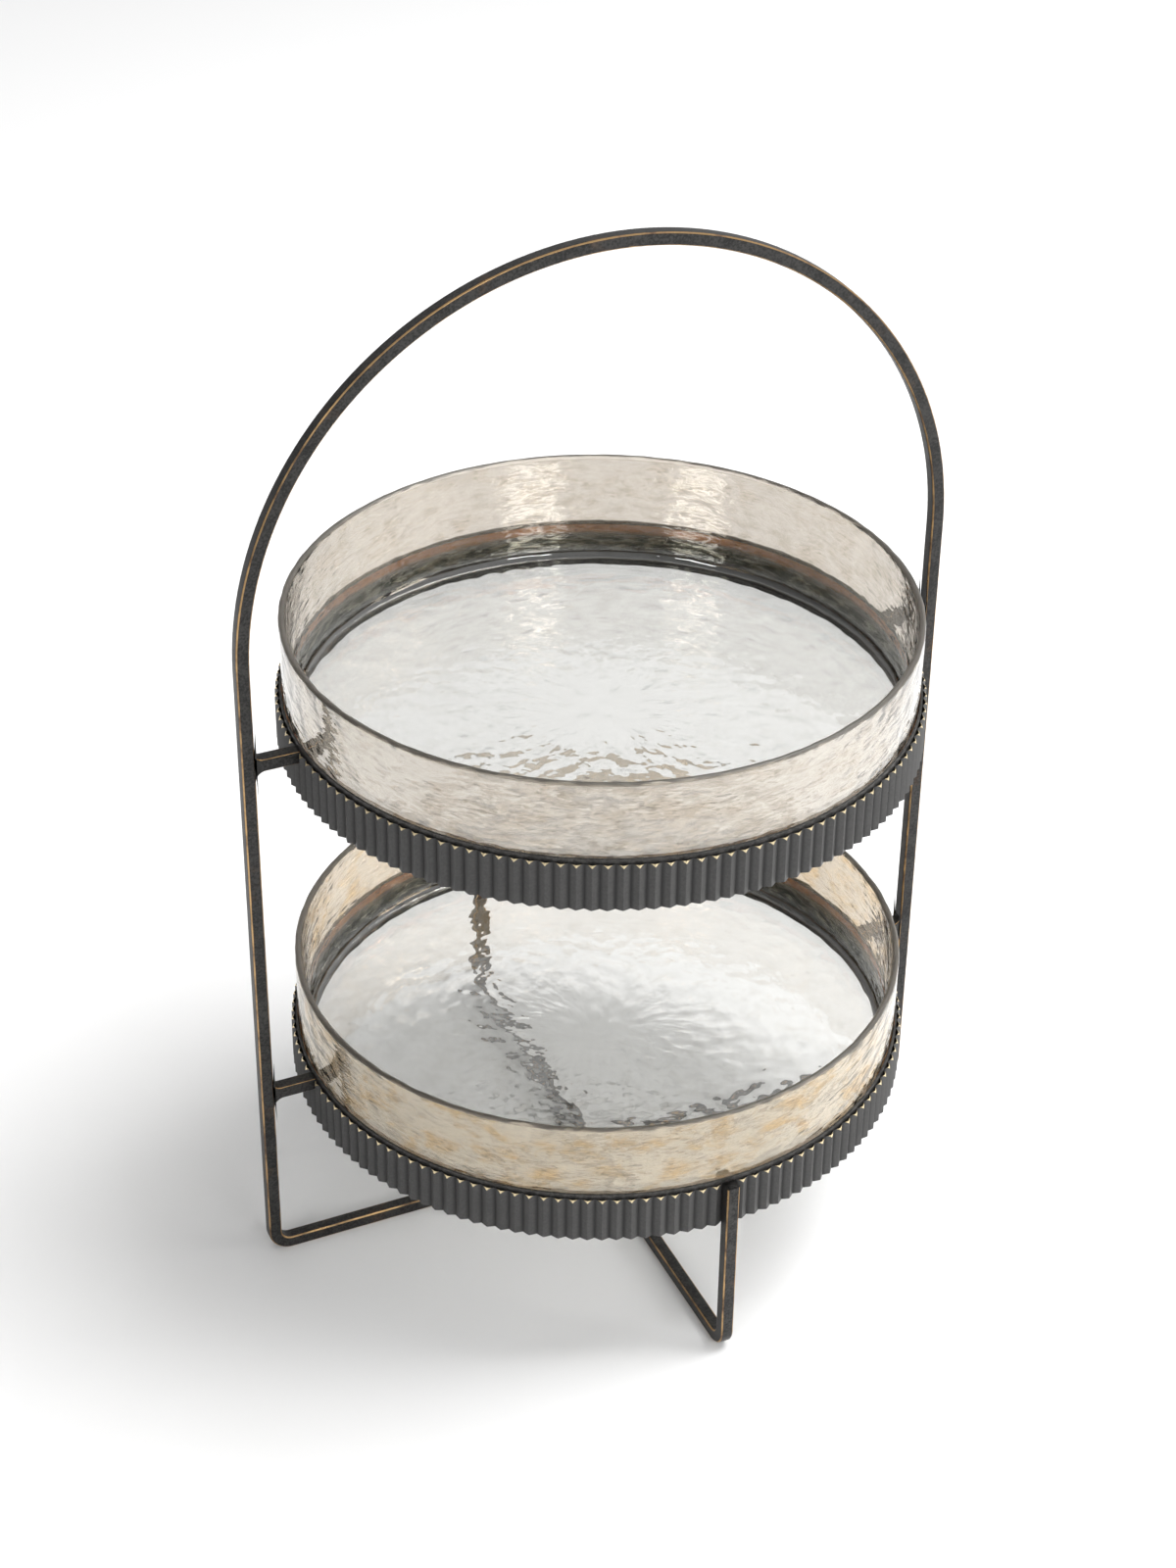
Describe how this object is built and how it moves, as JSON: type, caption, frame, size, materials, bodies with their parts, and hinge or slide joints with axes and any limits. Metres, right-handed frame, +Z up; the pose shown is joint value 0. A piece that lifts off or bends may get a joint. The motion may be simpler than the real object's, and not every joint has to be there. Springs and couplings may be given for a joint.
{
  "type": "tiered cake stand",
  "caption": "Tiered stand with an arched carrying handle, fluted metal rings and removable round hammered glass trays, on a low cross-shaped base.",
  "frame": {"origin": "on the floor, under the centre of both tiers, where the two floor rails cross", "axes": "+Z up; X runs along the floor rail from one upright of the arch to the other; Y runs from the back leg to the front leg, the front leg being at -Y"},
  "size_m": [0.3318, 0.2912, 0.4809],
  "materials": {
    "bronzed_bar": "dark antique bronze on hand-worked square bar, rubbed to brass along the edges",
    "dark_strip": "near-black antique bronze on thin flat strip, satin",
    "fluted_strip": "dark antique bronze on fluted strip, with the top of every flute rubbed to brass",
    "lustre_glass": "hammered glass with a pale champagne lustre on the wall and a clearer floor"
  },
  "bodies": {
    "stand": {"arch_frame": "bronzed_bar", "front_leg": "bronzed_bar", "back_leg": "bronzed_bar", "upper_left_connector": "bronzed_bar", "upper_right_connector": "bronzed_bar", "lower_left_connector": "bronzed_bar", "lower_right_connector": "bronzed_bar", "upper_hoop": "dark_strip", "lower_hoop": "dark_strip", "upper_ledge": "dark_strip", "lower_ledge": "dark_strip", "upper_band": "fluted_strip", "lower_band_left": "fluted_strip", "lower_band_right": "fluted_strip"},
    "upper_tray": {"upper_tray": "lustre_glass"},
    "lower_tray": {"lower_tray": "lustre_glass"}
  },
  "joints": [
    {"name": "upper_tray_lift", "type": "slide", "parent": "stand", "child": "upper_tray", "axis": [0, 0, 1], "range_m": [0, 0.07]},
    {"name": "lower_tray_lift", "type": "slide", "parent": "stand", "child": "lower_tray", "axis": [0, 0, 1], "range_m": [0, 0.1]}
  ]
}
